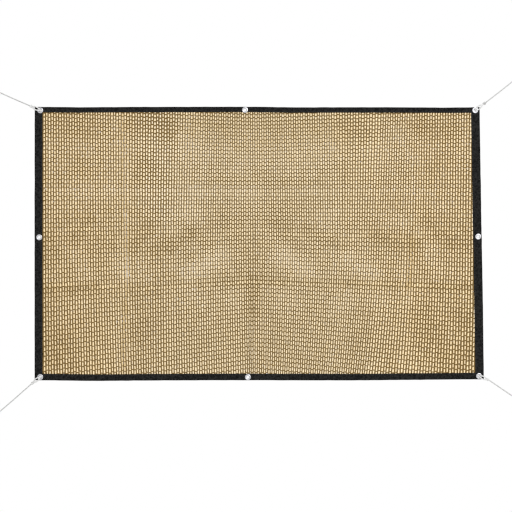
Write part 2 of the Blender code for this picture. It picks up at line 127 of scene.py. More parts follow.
def new_material(name, colour, roughness, specular=0.5, metallic=0.0):
    made = bpy.data.materials.new(name)
    made.use_nodes = True
    shader = made.node_tree.nodes["Principled BSDF"]
    shader.inputs["Base Color"].default_value = (*colour, 1.0)
    shader.inputs["Roughness"].default_value = roughness
    shader.inputs["Specular IOR Level"].default_value = specular
    shader.inputs["Metallic"].default_value = metallic
    return made


def add_node(finish, kind, inputs, operation=None):
    """A shader node. Each of its inputs gets a number, or another node's output."""
    node = finish.node_tree.nodes.new(f"ShaderNode{kind}")
    if operation:
        node.operation = operation
    for name, given in inputs.items():
        if isinstance(given, bpy.types.NodeSocket):
            finish.node_tree.links.new(given, node.inputs[name])
        else:
            node.inputs[name].default_value = given
    return node


def worked_out(finish, operation, *given):
    """What a math node makes of numbers and of other nodes' outputs."""
    return add_node(finish, "Math", dict(enumerate(given)), operation).outputs["Value"]


def object_place(finish):
    return add_node(finish, "TexCoord", {}).outputs["Object"]


def own_uv(finish):
    """The two numbers of the piece's own UV map."""
    place = add_node(finish, "UVMap", {})
    place.uv_map = "along_across"
    parts = add_node(finish, "SeparateXYZ", {"Vector": place.outputs["UV"]})
    return parts.outputs["X"], parts.outputs["Y"]


def add_noise(finish, place, scale, detail):
    inputs = {"Vector": place, "Scale": scale, "Detail": detail}
    return add_node(finish, "TexNoise", inputs).outputs["Fac"]


def add_tones(finish, factor, tones, ends=(0.0, 1.0)):
    """A colour between two tones, which are reached where the factor is at its two ends."""
    ramp = add_node(finish, "ValToRGB", {"Fac": factor})
    for stop, tone, end in zip(ramp.color_ramp.elements, tones, ends):
        stop.position = end
        stop.color = (*tone, 1.0)
    return ramp.outputs["Color"]


def feed(finish, colour, height, strength, deep):
    """Gives a finish its pattern of colour and its fine relief."""
    shader = finish.node_tree.nodes["Principled BSDF"]
    finish.node_tree.links.new(colour, shader.inputs["Base Color"])
    bump = add_node(finish, "Bump", {"Height": height, "Strength": strength, "Distance": deep})
    finish.node_tree.links.new(bump.outputs["Normal"], shader.inputs["Normal"])


def laid_fibre(name, tones):
    """Rope fibre: fine slanting fibres in relief, and tones as of a handled rope, between the given
    pair of tones. The rope has a lit pair and a shaded pair of tones, as painted light and painted
    shade.
    """
    finish = new_material(name, ROPE_GREY, roughness=0.75, specular=0.15)
    round_rope, along_rope = own_uv(finish)
    turned = worked_out(finish, "MULTIPLY", round_rope, 2 * math.pi * FIBRES_ROUND)
    slant = worked_out(finish, "MULTIPLY_ADD", along_rope, -2 * math.pi / FIBRE_LAY, turned)
    fibres = worked_out(finish, "SINE", slant)
    handled = add_noise(finish, object_place(finish), scale=160.0, detail=3.0)
    mixed = worked_out(finish, "MULTIPLY_ADD", fibres, FIBRES_IN_TONES, handled)
    toned = add_tones(finish, mixed, tones, ends=(0.25, 0.75))
    feed(finish, toned, fibres, strength=0.35, deep=0.12 * MM)
    return finish


def new_mesh(name, points, faces, material, uv=None):
    """A closed mesh at its place. uv is one pair for each point."""
    mesh = bpy.data.meshes.new(name)
    mesh.from_pydata(np.asarray(points).tolist(), [], faces)
    mesh.shade_smooth()
    mesh.materials.append(material)
    if uv is not None:
        corners = np.empty(len(mesh.loops), dtype=np.int32)
        mesh.loops.foreach_get("vertex_index", corners)
        mesh.uv_layers.new(name="along_across").uv.foreach_set("vector", uv[corners].ravel())
    obj = bpy.data.objects.new(name, mesh)
    bpy.context.scene.collection.objects.link(obj)
    return obj


def tube_faces(start, rings, sides):
    """Faces of a closed tube whose rings follow each other from point number start."""
    faces = []
    for ring in range(rings - 1):
        for k in range(sides):
            a = start + ring * sides + k
            b = start + ring * sides + (k + 1) % sides
            faces.append((a, b, b + sides, a + sides))
    last = start + (rings - 1) * sides
    faces.append(tuple(range(start + sides - 1, start - 1, -1)))
    faces.append(tuple(range(last, last + sides)))
    return faces


def smooth_route(points, every):
    """Points of a smooth curve through the given ones, about one step apart."""
    points = np.array(points, dtype=float)
    ends = np.vstack((2 * points[0] - points[1], points, 2 * points[-1] - points[-2]))
    t = np.linspace(0.0, 1.0, ROUTE_FINE, endpoint=False)[:, None]
    fine = [
        0.5
        * (
            2 * start
            + (end - before) * t
            + (2 * before - 5 * start + 4 * end - after) * t**2
            + (3 * start - before - 3 * end + after) * t**3
        )
        for before, start, end, after in zip(ends, ends[1:], ends[2:], ends[3:])
    ]
    fine = np.vstack((*fine, points[-1]))
    lengths = np.concatenate(([0.0], np.cumsum(np.linalg.norm(np.diff(fine, axis=0), axis=1))))
    at = np.linspace(0.0, lengths[-1], max(2, round(lengths[-1] / every)) + 1)
    return np.stack([np.interp(at, lengths, fine[:, k]) for k in range(3)], axis=1)


def lay_rope(name, path, finish):
    """A rope of three laid strands along a close row of points."""
    ahead = np.gradient(path, axis=0)
    ahead /= np.linalg.norm(ahead, axis=1)[:, None]
    side = np.empty_like(path)
    side[0] = np.cross(ahead[0], ANY_SIDE)
    side[0] /= np.linalg.norm(side[0])
    for i in range(1, len(path)):
        side[i] = side[i - 1] - ahead[i] * np.dot(side[i - 1], ahead[i])
        side[i] /= np.linalg.norm(side[i])
    up = np.cross(ahead, side)
    steps = np.linalg.norm(np.diff(path, axis=0), axis=1)
    along = np.concatenate(([0.0], np.cumsum(steps)))
    round_it = np.arange(ROPE_SIDES) / ROPE_SIDES
    angle = 2 * math.pi * (round_it[None, :] + along[:, None] / ROPE_LAY)
    radius = ROPE_R * np.tile(STRAND_RADII, STRANDS)[None, :, None]
    ring = path[:, None, :] + radius * (
        np.cos(angle)[:, :, None] * side[:, None, :] + np.sin(angle)[:, :, None] * up[:, None, :]
    )
    uv = np.stack(np.broadcast_arrays(round_it[None, :], along[:, None]), axis=2)
    faces = tube_faces(0, len(path), ROPE_SIDES)
    rope = new_mesh(name, ring.reshape(-1, 3), faces, finish, uv.reshape(-1, 2))
    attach(rope, "root")
    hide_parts(name.removesuffix("_laid"))
    return rope


def turn_path(eyelet, pull, reach, side):
    """The line of one turn: knot, front of the tape, eyelet, back of the tape, knot."""
    across = np.cross((0.0, 1.0, 0.0), pull) * side
    depth = np.array((0.0, -1.0, 0.0))
    half = [eyelet + row[0] * pull + row[1] * across + row[2] * depth for row in TURN_IN_EYELET]
    for towards in (reach - KNOT_RUN_IN, reach + KNOT_TUCK):
        half.append(eyelet + towards * pull + STRAND_OFF * (across + depth))
    mirrored = [point * (1.0, -1.0, 1.0) for point in half[1:]]
    return smooth_route([*reversed(half), *mirrored], ROPE_STEP)


def knot_path(middle, line, half):
    """The rope's line in a tight overhand knot, a trefoil of the given place and half length."""
    turn = np.linspace(math.pi / 3, 2 * math.pi + math.pi / 3, KNOT_POINTS)
    out = (KNOT_R - ROPE_R) / 3 * (2.0 + np.cos(3 * turn))
    along = (half - ROPE_R) * np.sin(3 * turn)
    across = np.cross((0.0, 1.0, 0.0), line)
    places = (
        middle
        + along[:, None] * line
        + (out * np.cos(2 * turn))[:, None] * across
        + (out * np.sin(2 * turn))[:, None] * np.array((0.0, 1.0, 0.0))
    )
    return smooth_route(places, KNOT_STEP)


# The rope's shaded copy, greyer with painted shade, and its lit copy, brighter with painted light.
shaded_rope_finish = laid_fibre("laid_rope", SHADED_ROPE_TONES)
lit_rope_finish = laid_fibre("laid_rope_cleaner", LIT_ROPE_TONES)
for name, eyelet, knot, knot_half, leaves in CORNERS:
    eyelet = np.array((eyelet[0], 0.0, eyelet[1]))
    knot = np.array((knot[0], 0.0, knot[1]))
    leaves = np.array((leaves[0], 0.0, leaves[1]))

    # The two turns and their knot, in the rope's copy with painted light. The top right knot has the
    # taut run's greyer copy, with painted shade.
    apart = np.linalg.norm(knot - eyelet)
    pull = (knot - eyelet) / apart
    reach = apart - knot_half - SLANTED_GAP
    turn_a = lay_rope(f"rope_turn_a_{name}_laid", turn_path(eyelet, pull, reach, 1), lit_rope_finish)
    turn_b = lay_rope(f"rope_turn_b_{name}_laid", turn_path(eyelet, pull, reach, -1), lit_rope_finish)
    knot_finish = shaded_rope_finish if name == "top_right" else lit_rope_finish
    tied = lay_rope(f"rope_knot_{name}_laid", knot_path(knot, pull, knot_half), knot_finish)

    # The taut run starts inside the knot, sags a little, and ends past the picture's edge.
    away = (leaves - knot) / np.linalg.norm(leaves - knot)
    lean = math.acos(np.dot(pull, away))
    start = knot + pull * (knot_half + GAP + ROPE_R * math.sin(lean))
    outwards = (leaves - start) / np.linalg.norm(leaves - start)
    end = leaves + outwards * PAST_PICTURE
    middle = (start + end) / 2 - (0.0, 0.0, ROPE_SAG)
    start = start - pull * KNOT_TUCK
    run_path = smooth_route((start, middle, end + outwards * KNOT_TUCK), ROPE_STEP)
    run = lay_rope(f"rope_{name}_laid", run_path, shaded_rope_finish)

    # The end knot and the loop lie on the line that the run ends with.
    last = (run_path[-1] - run_path[-2]) / np.linalg.norm(run_path[-1] - run_path[-2])
    end_knot = end + last * (GAP + END_KNOT_HALF)
    end_path = knot_path(end_knot, last, END_KNOT_HALF)
    end_tied = lay_rope(f"rope_end_knot_{name}_laid", end_path, shaded_rope_finish)
    foot = end_knot + last * (END_KNOT_HALF + SLANTED_GAP)
    across = np.cross((0.0, 1.0, 0.0), last)
    half = [foot + row[0] * last + row[1] * across for row in END_LOOP]
    other = [foot + row[0] * last - row[1] * across for row in END_LOOP[:-1]]
    loop_path = smooth_route([*half, *reversed(other)], ROPE_STEP)
    loop = lay_rope(f"rope_end_loop_{name}_laid", loop_path, shaded_rope_finish)

# Net panel. Tan polyethylene yarn, warp-knitted: upright chains of loops, a yarn laid through them
# in every row, and two paler flat yarns in every gap, with a slit between them. It was packed
# folded, so it keeps creases, and its corners' pull bows the rows. One mesh for each of five bands.
TOP_EDGE = ((-0.754, -0.0003), (-0.600, -0.0015), (-0.385, -0.0003), (-0.100, 0.0003), (0.0, 0.0),
            (0.100, -0.0018), (0.400, -0.0014), (0.640, -0.0026), (0.755, -0.0013))
BOTTOM_EDGE = ((-0.754, -0.9176), (-0.540, -0.9203), (-0.380, -0.9188), (-0.100, -0.9178),
               (0.310, -0.9185), (0.530, -0.9165), (0.755, -0.9146))
LEFT_EDGE = ((-0.920, -0.7535), (-0.500, -0.7537), (0.001, -0.7534))
RIGHT_EDGE = ((-0.920, 0.7545), (-0.680, 0.7518), (-0.350, 0.7457), (0.001, 0.7402))
TOP_TAPE_WIDE = 18.0 * MM
BOTTOM_TAPE_WIDE = 22.0 * MM
LEFT_TAPE_WIDE = 27.0 * MM
RIGHT_TAPE_WIDE = 29.0 * MM
NET_UNDER_TAPE = 1.4 * MM


def edge_at(edge, along):
    """The place of an edge, or of any short table of pairs, at each of the given places."""
    table = np.array(edge)
    return np.interp(along, table[:, 0], table[:, 1])


NET_MIDDLE_Z = -0.4486
FIRST_COLUMN_IN = 1.0 * MM
COLUMNS_REACH = 0.780
COLUMN_PITCH = ((-0.725, 9.00 * MM), (-0.489, 8.64 * MM), (-0.342, 8.74 * MM), (-0.194, 8.13 * MM),
                (-0.046, 7.86 * MM), (0.102, 7.83 * MM), (0.250, 8.00 * MM), (0.398, 8.40 * MM),
                (0.546, 8.84 * MM), (0.720, 9.14 * MM))
COLUMN_LEAN_ABOVE = ((-0.725, 0.0), (-0.489, 0.005), (-0.342, -0.010), (-0.194, -0.020),
                     (-0.046, 0.0), (0.102, 0.015), (0.250, 0.010), (0.398, -0.035),
                     (0.546, -0.015), (0.720, -0.010))
COLUMN_LEAN_BELOW = ((-0.725, 0.002), (-0.489, 0.014), (-0.342, 0.004), (-0.194, 0.008),
                     (-0.046, 0.010), (-0.018, 0.0), (0.102, -0.018), (0.250, -0.035),
                     (0.398, -0.052), (0.546, -0.030), (0.720, -0.010))
LEAN_AT_MIDDLE = 0.6
LEAN_GROWS = 0.85
ROW_PITCH_AT_TOP = 12.08 * MM
ROW_PITCH_GROWTH = 0.00272
ROW_PITCH = 13.6 * MM
ROW_LEVEL_DEPTH = 0.314
ROW_BOW_MIDDLE_X = -0.019
ROW_BOW_REACH = 0.706
ROW_BOW_LEFT = 0.12
ROW_BOW_RIGHT = 0.09
ROW_BOW_MORE_BELOW = 1.35
ROWS_BELOW = 45
ROWS_ABOVE = 26
BAND_COUNT = 5
PAIR_SHIFT = 0.012
ROW_ZIGZAG = 0.21
COLUMN_WANDER = 0.25 * MM
ROW_WANDER = 0.35 * MM

# One chain loop, from a row to the next: share of the row's height, how far each leg stands from
# the chain's middle, half the leg's width, how far forward it is, and how deep in shade.
LOOP = (
    (0.0, 0.60 * MM, 1.50 * MM, -0.3 * MM, 0.5),
    (0.30, 0.75 * MM, 1.42 * MM, 0.3 * MM, 0.5),
    (0.74, 1.05 * MM, 1.22 * MM, 0.4 * MM, 0.6),
)
LEG_HALF_THICK = 0.75 * MM
LEG_OFF_UNEVEN = 0.10
LEG_TWIST = 0.6
LEGS_CROSS_BELOW = 0.7 * MM
CROSSING_DEEP = 0.35 * MM
SHORTEST_CHAIN = 4
YARN_UNEVEN = 0.08

# The yarn laid through each row. Each corner of its section: share of its half thickness towards
# the back, and share of its half height upwards.
INLAY_SECTION = ((-0.3, 1.0), (-1.0, -1.0), (1.0, -0.6))
INLAY_TALL = 3.6 * MM
INLAY_THICK = 1.3 * MM
INLAY_SHADE = 0.2
INLAY_REACH = 0.27
INLAY_BACK = 0.2 * MM
INLAY_WANDER = 0.2 * MM

# The paler yarn: two flat lengths in each gap, held under the chains, with a slit between them.
SLIT = 0.38 * MM
SLIT_OFF = 0.3 * MM
SLIT_UNEVEN = 0.25
SLIT_WHEN_LOOSE = 0.3
SLIT_SHARES = (0.2, 2.5)
UNDER_CHAIN = 1.7 * MM
PALE_THICK = 0.4 * MM
PALE_BACK = 0.2 * MM
PALE_RIM_FORWARD = 0.1 * MM
PALE_LEAST_WIDE = 0.3 * MM
PALE_LEAST_POINTS = 3
PALE_TONES_SPREAD = 0.5
# Painted shade across a pale length, at its held edge, its free edge and its back. It is darker where
# the length lies under the chain, and lightest beside the slit, as painted light coming through it.
PALE_PAINTED_SHADES = (0.5, 0.0, 0.25)

# Where the net was creased its yarns lie closer or looser, so less or more light comes through.
# Each stroke: x and z of its two ends, its half width, and how loose the yarns are there.
STROKES = (
    (-0.232, -0.558, -0.138, -0.506, 0.056, 1.20),
    (0.075, -0.496, 0.162, -0.558, 0.056, 1.10),
    (0.302, -0.508, 0.385, -0.564, 0.052, 0.95),
    (-0.626, -0.481, -0.581, -0.559, 0.045, 0.70),
    (-0.469, -0.515, -0.447, -0.571, 0.047, 0.90),
    (-0.394, -0.526, -0.380, -0.582, 0.036, 0.60),
    (0.578, -0.470, 0.595, -0.559, 0.040, 0.60),
    (0.484, -0.526, 0.488, -0.573, 0.036, 0.50),
    (-0.282, -0.382, -0.245, -0.358, 0.054, 0.50),
    (0.214, -0.380, 0.248, -0.367, 0.054, 0.50),
    (0.438, -0.378, 0.468, -0.394, 0.058, 0.60),
    (-0.017, -0.270, -0.019, -0.360, 0.022, 0.55),
    (-0.245, -0.173, -0.189, -0.154, 0.095, 0.30),
    (0.119, -0.173, 0.208, -0.147, 0.095, 0.25),
    (0.410, -0.184, 0.432, -0.067, 0.073, 0.25),
    (-0.721, -0.277, 0.710, -0.277, 0.024, 0.35),
    (-0.721, -0.145, 0.710, -0.145, 0.110, 0.40),
    (-0.240, -0.640, -0.212, -0.645, 0.054, 0.50),
    (-0.088, -0.649, -0.083, -0.655, 0.047, 0.35),
    (0.091, -0.645, 0.102, -0.655, 0.054, 0.45),
    (0.279, -0.671, 0.300, -0.645, 0.049, 0.50),
    (0.393, -0.638, 0.404, -0.645, 0.054, 0.50),
    (-0.468, -0.716, -0.457, -0.856, 0.036, 0.60),
    (0.453, -0.750, 0.484, -0.845, 0.043, 0.25),
    (-0.210, -0.070, -0.232, -0.170, 0.045, 0.30),
    (-0.027, -0.078, -0.025, -0.083, 0.069, 0.35),
    (0.200, -0.060, 0.275, -0.175, 0.011, 0.45),
    (0.445, -0.060, 0.505, -0.170, 0.011, 0.55),
    (-0.215, -0.285, -0.226, -0.358, 0.069, 0.40),
    (-0.450, -0.123, -0.446, -0.649, 0.011, 0.50),
    (-0.721, -0.442, -0.712, -0.503, 0.056, -1.00),
    (-0.623, -0.450, -0.570, -0.382, 0.034, -0.80),
    (-0.553, -0.465, -0.497, -0.465, 0.034, -0.40),
    (-0.421, -0.468, -0.372, -0.397, 0.036, -1.00),
    (-0.357, -0.494, -0.307, -0.470, 0.034, -0.70),
    (-0.307, -0.470, -0.228, -0.423, 0.031, -0.80),
    (-0.228, -0.423, -0.167, -0.465, 0.031, -0.60),
    (0.052, -0.391, 0.130, -0.465, 0.040, -0.50),
    (0.158, -0.416, 0.276, -0.465, 0.034, -0.80),
    (0.388, -0.427, 0.524, -0.465, 0.038, -1.10),
    (0.565, -0.382, 0.643, -0.456, 0.034, -0.80),
    (0.668, -0.434, 0.710, -0.461, 0.047, -0.80),
    (-0.025, -0.391, -0.021, -0.548, 0.069, -0.50),
    (-0.721, -0.615, -0.553, -0.606, 0.030, -0.80),
    (-0.421, -0.627, -0.349, -0.618, 0.030, -0.60),
    (-0.105, -0.580, 0.063, -0.580, 0.027, -0.90),
    (0.063, -0.587, 0.710, -0.604, 0.021, -0.70),
    (-0.284, -0.589, -0.105, -0.582, 0.021, -0.40),
    (-0.021, -0.599, -0.021, -0.694, 0.034, -1.40),
    (-0.021, -0.739, -0.021, -0.879, 0.047, -0.15),
    (-0.020, -0.760, -0.020, -0.885, 0.014, 0.50),
    (-0.721, -0.609, -0.300, -0.599, 0.012, -1.20),
    (-0.300, -0.599, 0.000, -0.588, 0.012, -1.20),
    (0.000, -0.588, 0.300, -0.590, 0.012, -1.20),
    (0.300, -0.590, 0.710, -0.606, 0.012, -1.20),
    (0.292, -0.080, 0.292, -0.440, 0.012, -0.50),
    (0.256, -0.480, 0.250, -0.880, 0.010, 0.40),
    (0.516, -0.230, 0.516, -0.370, 0.010, 0.50),
    (0.508, -0.600, 0.470, -0.860, 0.010, 0.60),
    (-0.721, -0.694, -0.688, -0.789, 0.084, -0.80),
    (-0.682, -0.875, -0.671, -0.878, 0.140, -1.10),
    (-0.399, -0.744, -0.405, -0.763, 0.049, -0.60),
    (0.540, -0.700, 0.592, -0.820, 0.080, -0.60),
    (-0.604, -0.740, -0.590, -0.752, 0.036, -0.50),
    (-0.640, -0.330, -0.500, -0.270, 0.060, 0.35),
    (0.470, -0.270, 0.640, -0.330, 0.060, 0.35),
    (0.696, -0.694, 0.710, -0.806, 0.062, -0.80),
    (0.679, -0.875, 0.690, -0.878, 0.106, -1.20),
    (-0.654, -0.055, -0.576, -0.069, 0.069, -0.60),
    (-0.396, -0.053, -0.307, -0.067, 0.069, -0.90),
    (-0.385, -0.188, -0.385, -0.226, 0.054, -0.60),
    (-0.604, -0.199, -0.596, -0.203, 0.049, -0.40),
    (0.290, -0.060, 0.345, -0.088, 0.050, -0.85),
    (0.544, -0.067, 0.636, -0.091, 0.052, -0.80),
    (0.623, -0.167, 0.589, -0.203, 0.047, -0.50),
    (-0.220, -0.252, 0.200, -0.252, 0.014, -0.50),
    (-0.122, -0.378, -0.094, -0.408, 0.054, -0.50),
    (0.068, -0.378, 0.085, -0.408, 0.054, -0.50),
    (-0.500, -0.790, 0.710, -0.790, 0.160, -0.28),
    (-0.160, -0.060, 0.390, -0.060, 0.090, -0.45),
    (-0.600, -0.290, -0.150, -0.300, 0.110, 0.20),
    (0.440, -0.840, 0.640, -0.670, 0.075, -0.28),
    (-0.065, -0.190, -0.065, -0.410, 0.060, 0.30),
    (0.295, -0.130, 0.295, -0.230, 0.060, -0.32),
    (-0.305, -0.040, -0.295, -0.170, 0.040, -0.38),
)

# Where the net was folded, its chains are pressed narrow, the slits beside them are shut and the pale
# yarn is darker in tone, which leaves a faint upright line. Next to a fold the knit may stand out more.
# Each: x and z of its two ends, its half width, and how flat the knit is there.
FOLDS = (
    (-0.457, -0.031, -0.450, -0.360, 0.012, 1.00),
    (-0.450, -0.360, -0.441, -0.561, 0.013, 1.80),
    (-0.441, -0.561, -0.452, -0.716, 0.012, 1.00),
    (-0.452, -0.716, -0.456, -0.890, 0.012, 1.00),
    (0.514, -0.447, 0.500, -0.615, 0.012, 1.00),
    (-0.345, -0.040, -0.340, -0.330, 0.085, -0.60),
    (-0.160, -0.100, 0.240, -0.100, 0.110, 0.40),
    (-0.230, -0.040, -0.238, -0.200, 0.030, 0.45),
)
FLAT_CHAIN = 0.20
FLAT_SLIT = 1.0
FLAT_TONE = 0.5
STROKE_FADE = 1.5
LOOSE_SHARE = 0.225
USUAL_PITCH = 8.6 * MM
WIDER_WITH_PITCH = 2.0
FULLER_IN_TALL_ROWS = 0.6
TIGHTEST = -1.9
LOOSEST = 1.4
SELVEDGE_WIDE = 9.0 * MM
SELVEDGE_TIGHT = 1.6
SIDE_PINCH_FROM = 1.4
TOP_PINCH_FROM = 0.7

draw = np.random.default_rng(41)


def summed(strokes, x, z):
    """The strokes' amounts there. Each fades from its middle line to its sides."""
    found = np.zeros(x.shape)
    for x0, z0, x1, z1, half_width, amount in strokes:
        dx, dz = x1 - x0, z1 - z0
        share = np.clip(((x - x0) * dx + (z - z0) * dz) / (dx * dx + dz * dz + 1e-12), 0.0, 1.0)
        off = np.hypot(x - x0 - share * dx, z - z0 - share * dz) / half_width
        found += amount * np.clip(1.0 - off * off, 0.0, 1.0) ** STROKE_FADE
    return found


def looseness(x, z):
    """How much looser than usual the yarns lie there. They are tight along the tapes."""
    from_side = (x - edge_at(LEFT_EDGE, z) - LEFT_TAPE_WIDE) / SELVEDGE_WIDE
    from_top = (edge_at(TOP_EDGE, x) - TOP_TAPE_WIDE - z) / SELVEDGE_WIDE
    at_side = np.clip(SIDE_PINCH_FROM - from_side, 0.0, 1.0)
    at_top = np.clip(TOP_PINCH_FROM - from_top, 0.0, 1.0)
    return np.clip(summed(STROKES, x, z), TIGHTEST, LOOSEST) - SELVEDGE_TIGHT * (at_side + at_top)


def row_z(row, x):
    """The level of a row, counted upwards from the level one, where it crosses the given x."""
    bow = np.where(x < ROW_BOW_MIDDLE_X, ROW_BOW_LEFT, ROW_BOW_RIGHT)
    bow = bow * np.where(row < 0, ROW_BOW_MORE_BELOW, 1.0)
    stretch = 1.0 + bow * np.abs(x - ROW_BOW_MIDDLE_X) / ROW_BOW_REACH
    start = ROW_PITCH_AT_TOP / ROW_PITCH_GROWTH
    return start - (start + ROW_LEVEL_DEPTH) * np.exp(-ROW_PITCH_GROWTH * row * stretch)


def column_x(x_middle, z):
    """Where a column, named by its place at the panel's middle level, crosses the given level."""
    drop = NET_MIDDLE_Z - z
    grown = LEAN_AT_MIDDLE + LEAN_GROWS * drop / abs(NET_MIDDLE_Z)
    below = edge_at(COLUMN_LEAN_BELOW, x_middle) * grown
    return x_middle + drop * np.where(drop > 0, below, edge_at(COLUMN_LEAN_ABOVE, x_middle))


columns = [edge_at(LEFT_EDGE, NET_MIDDLE_Z) + LEFT_TAPE_WIDE + FIRST_COLUMN_IN]
while columns[-1] < COLUMNS_REACH:
    columns.append(columns[-1] + float(edge_at(COLUMN_PITCH, columns[-1])))
columns = np.array(columns)
pitch = edge_at(COLUMN_PITCH, columns)
columns = columns + PAIR_SHIFT * pitch * np.where(np.arange(len(columns)) % 2, 1.0, -1.0)

# The CAD panel's low folds give the knit its depth. They are read off it on an even grid.
RAY_FROM = 0.1
GUIDE_STEP = 6.0 * MM
GUIDE_SIDES = (-0.733, 0.7335)
GUIDE_ENDS = (-0.905, -0.012)
PAST_LAST_CELL = 1.001
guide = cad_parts["net_panel"].data.copy()
shape = bmesh.new()
shape.from_mesh(guide)
bmesh.ops.remove_doubles(shape, verts=shape.verts, dist=0.01 * MM)
cad_net = BVHTree.FromBMesh(shape)
shape.free()
bpy.data.meshes.remove(guide)


def net_y(x, z):
    """The middle of the net's thickness there, read off the CAD panel."""
    found = np.zeros(x.shape)
    for at in np.ndindex(x.shape):
        front = cad_net.ray_cast(Vector((x[at], -RAY_FROM, z[at])), Vector((0.0, 1.0, 0.0)))[0]
        back = cad_net.ray_cast(Vector((x[at], RAY_FROM, z[at])), Vector((0.0, -1.0, 0.0)))[0]
        found[at] = (front.y + back.y) / 2 if front and back else np.nan
    return found


def net_sides(z):
    """The x of the net's left and right edges at each level. They lie a little inside the tape."""
    left = edge_at(LEFT_EDGE, z) + LEFT_TAPE_WIDE - NET_UNDER_TAPE
    right = edge_at(RIGHT_EDGE, z) - RIGHT_TAPE_WIDE + NET_UNDER_TAPE
    return left, right


def net_ends(x):
    """The z of the net's bottom and top edges at each x. They lie a little inside the tape."""
    bottom = edge_at(BOTTOM_EDGE, x) + BOTTOM_TAPE_WIDE - NET_UNDER_TAPE
    top = edge_at(TOP_EDGE, x) - TOP_TAPE_WIDE + NET_UNDER_TAPE
    return bottom, top


def held_in_tape(x, z):
    """The same points, but none deeper in the tape than the net goes."""
    x = np.clip(x, *net_sides(z))
    return x, np.clip(z, *net_ends(x))


guide_x = np.arange(*GUIDE_SIDES, GUIDE_STEP)
guide_z = np.arange(*GUIDE_ENDS, GUIDE_STEP)
guide_y = net_y(*np.meshgrid(guide_x, guide_z))
guide_y = np.where(np.isnan(guide_y), 0.0, guide_y)
for _ in range(2):
    guide_y[1:-1, 1:-1] = (
        4 * guide_y[1:-1, 1:-1] + guide_y[:-2, 1:-1] + guide_y[2:, 1:-1]
        + guide_y[1:-1, :-2] + guide_y[1:-1, 2:]
    ) / 8


def smooth_y(x, z):
    """The panel's folded surface, smoothed, at each point."""
    u = np.clip((x - guide_x[0]) / GUIDE_STEP, 0, len(guide_x) - PAST_LAST_CELL)
    v = np.clip((z - guide_z[0]) / GUIDE_STEP, 0, len(guide_z) - PAST_LAST_CELL)
    i, j = u.astype(int), v.astype(int)
    a, b = u - i, v - j
    return (
        guide_y[j, i] * (1 - a) * (1 - b) + guide_y[j, i + 1] * a * (1 - b)
        + guide_y[j + 1, i] * (1 - a) * b + guide_y[j + 1, i + 1] * a * b
    )


# The yarn is tinted a little cooler in the net's middle, and a warmer, deeper tan at its sides. The
# ends are distances from the net's middle. Each yarn goes from its lighter tone to its darker one.
MIDDLE_TINT_ENDS = (0.25, 0.55)
MIDDLE_AND_SIDE_TINTS = ((0.940, 0.948, 1.0), (0.963, 0.942, 0.934))
TAN_TONES = ((0.234, 0.151, 0.051), (0.153, 0.096, 0.031))
PALE_TONES = ((0.95, 0.775, 0.478), (0.645, 0.487, 0.248))
CREASES_TO_A_METRE = (2400.0, 2400.0, 130.0)
CREASE_TONES_SPREAD = 0.9


def flat_yarn(name, tones):
    """Flat polyethylene yarn, creased along its length, between two tones by its shade."""
    finish = new_material(name, tones[0], roughness=0.55, specular=0.1)
    place = object_place(finish)
    stretched = add_node(finish, "Mapping", {"Vector": place, "Scale": CREASES_TO_A_METRE})
    creases = add_noise(finish, stretched.outputs["Vector"], scale=1.0, detail=3.0)
    centred = worked_out(finish, "SUBTRACT", creases, 0.5)
    shade = add_node(finish, "Attribute", {})
    shade.attribute_name = "shade"
    mixed = worked_out(finish, "MULTIPLY_ADD", centred, CREASE_TONES_SPREAD, shade.outputs["Fac"])
    parts = add_node(finish, "SeparateXYZ", {"Vector": place})
    from_middle = worked_out(finish, "ABSOLUTE", parts.outputs["X"])
    middle_tint = add_tones(finish, from_middle, MIDDLE_AND_SIDE_TINTS, MIDDLE_TINT_ENDS)
    tinted = add_node(finish, "VectorMath", {0: add_tones(finish, mixed, tones), 1: middle_tint}, "MULTIPLY")
    feed(finish, tinted.outputs["Vector"], creases, strength=0.4, deep=0.2 * MM)
    return finish


tan_yarn = flat_yarn("tan_yarn", TAN_TONES)
pale_yarn = flat_yarn("pale_yarn", PALE_TONES)

# Every knitted point. The grids have a line for each column, and in it a place for each point of
# each row's loop. Rows and columns need each other's places, so they are found by turns.
rows = np.arange(-ROWS_BELOW, ROWS_ABOVE)
share_up, leg_off, leg_half_wide, leg_front, leg_shade = np.tile(np.array(LOOP).T, len(rows))
levels = np.repeat(rows, len(LOOP)) + share_up
column_grid, level_grid = np.meshgrid(columns, levels, indexing="ij")
z_grid = row_z(level_grid, column_grid)
for _ in range(3):
    x_grid = column_x(column_grid, z_grid)
    z_grid = row_z(level_grid, x_grid)
row_tall = np.gradient(z_grid, levels, axis=1) / ROW_PITCH
row_starts = np.arange(len(rows) + 1)
row_wander = ROW_WANDER * draw.standard_normal((len(columns), len(row_starts)))
column_wander = COLUMN_WANDER * draw.standard_normal((len(columns), len(row_starts)))
for i in range(len(columns)):
    z_grid[i] += np.interp(levels - rows[0], row_starts, row_wander[i])
    x_grid[i] += np.interp(levels - rows[0], row_starts, column_wander[i])
y_grid = smooth_y(x_grid, z_grid)
spread = (edge_at(COLUMN_PITCH, columns) / USUAL_PITCH) ** WIDER_WITH_PITCH
close_grid = (1.0 - LOOSE_SHARE * looseness(x_grid, z_grid)) * row_tall**FULLER_IN_TALL_ROWS
close_grid *= 1.0 - FLAT_CHAIN * summed(FOLDS, x_grid, z_grid)
net_left, net_right = net_sides(z_grid)
net_bottom, net_top = net_ends(x_grid)
kept = (x_grid > net_left) & (x_grid < net_right) & (z_grid > net_bottom) & (z_grid < net_top)


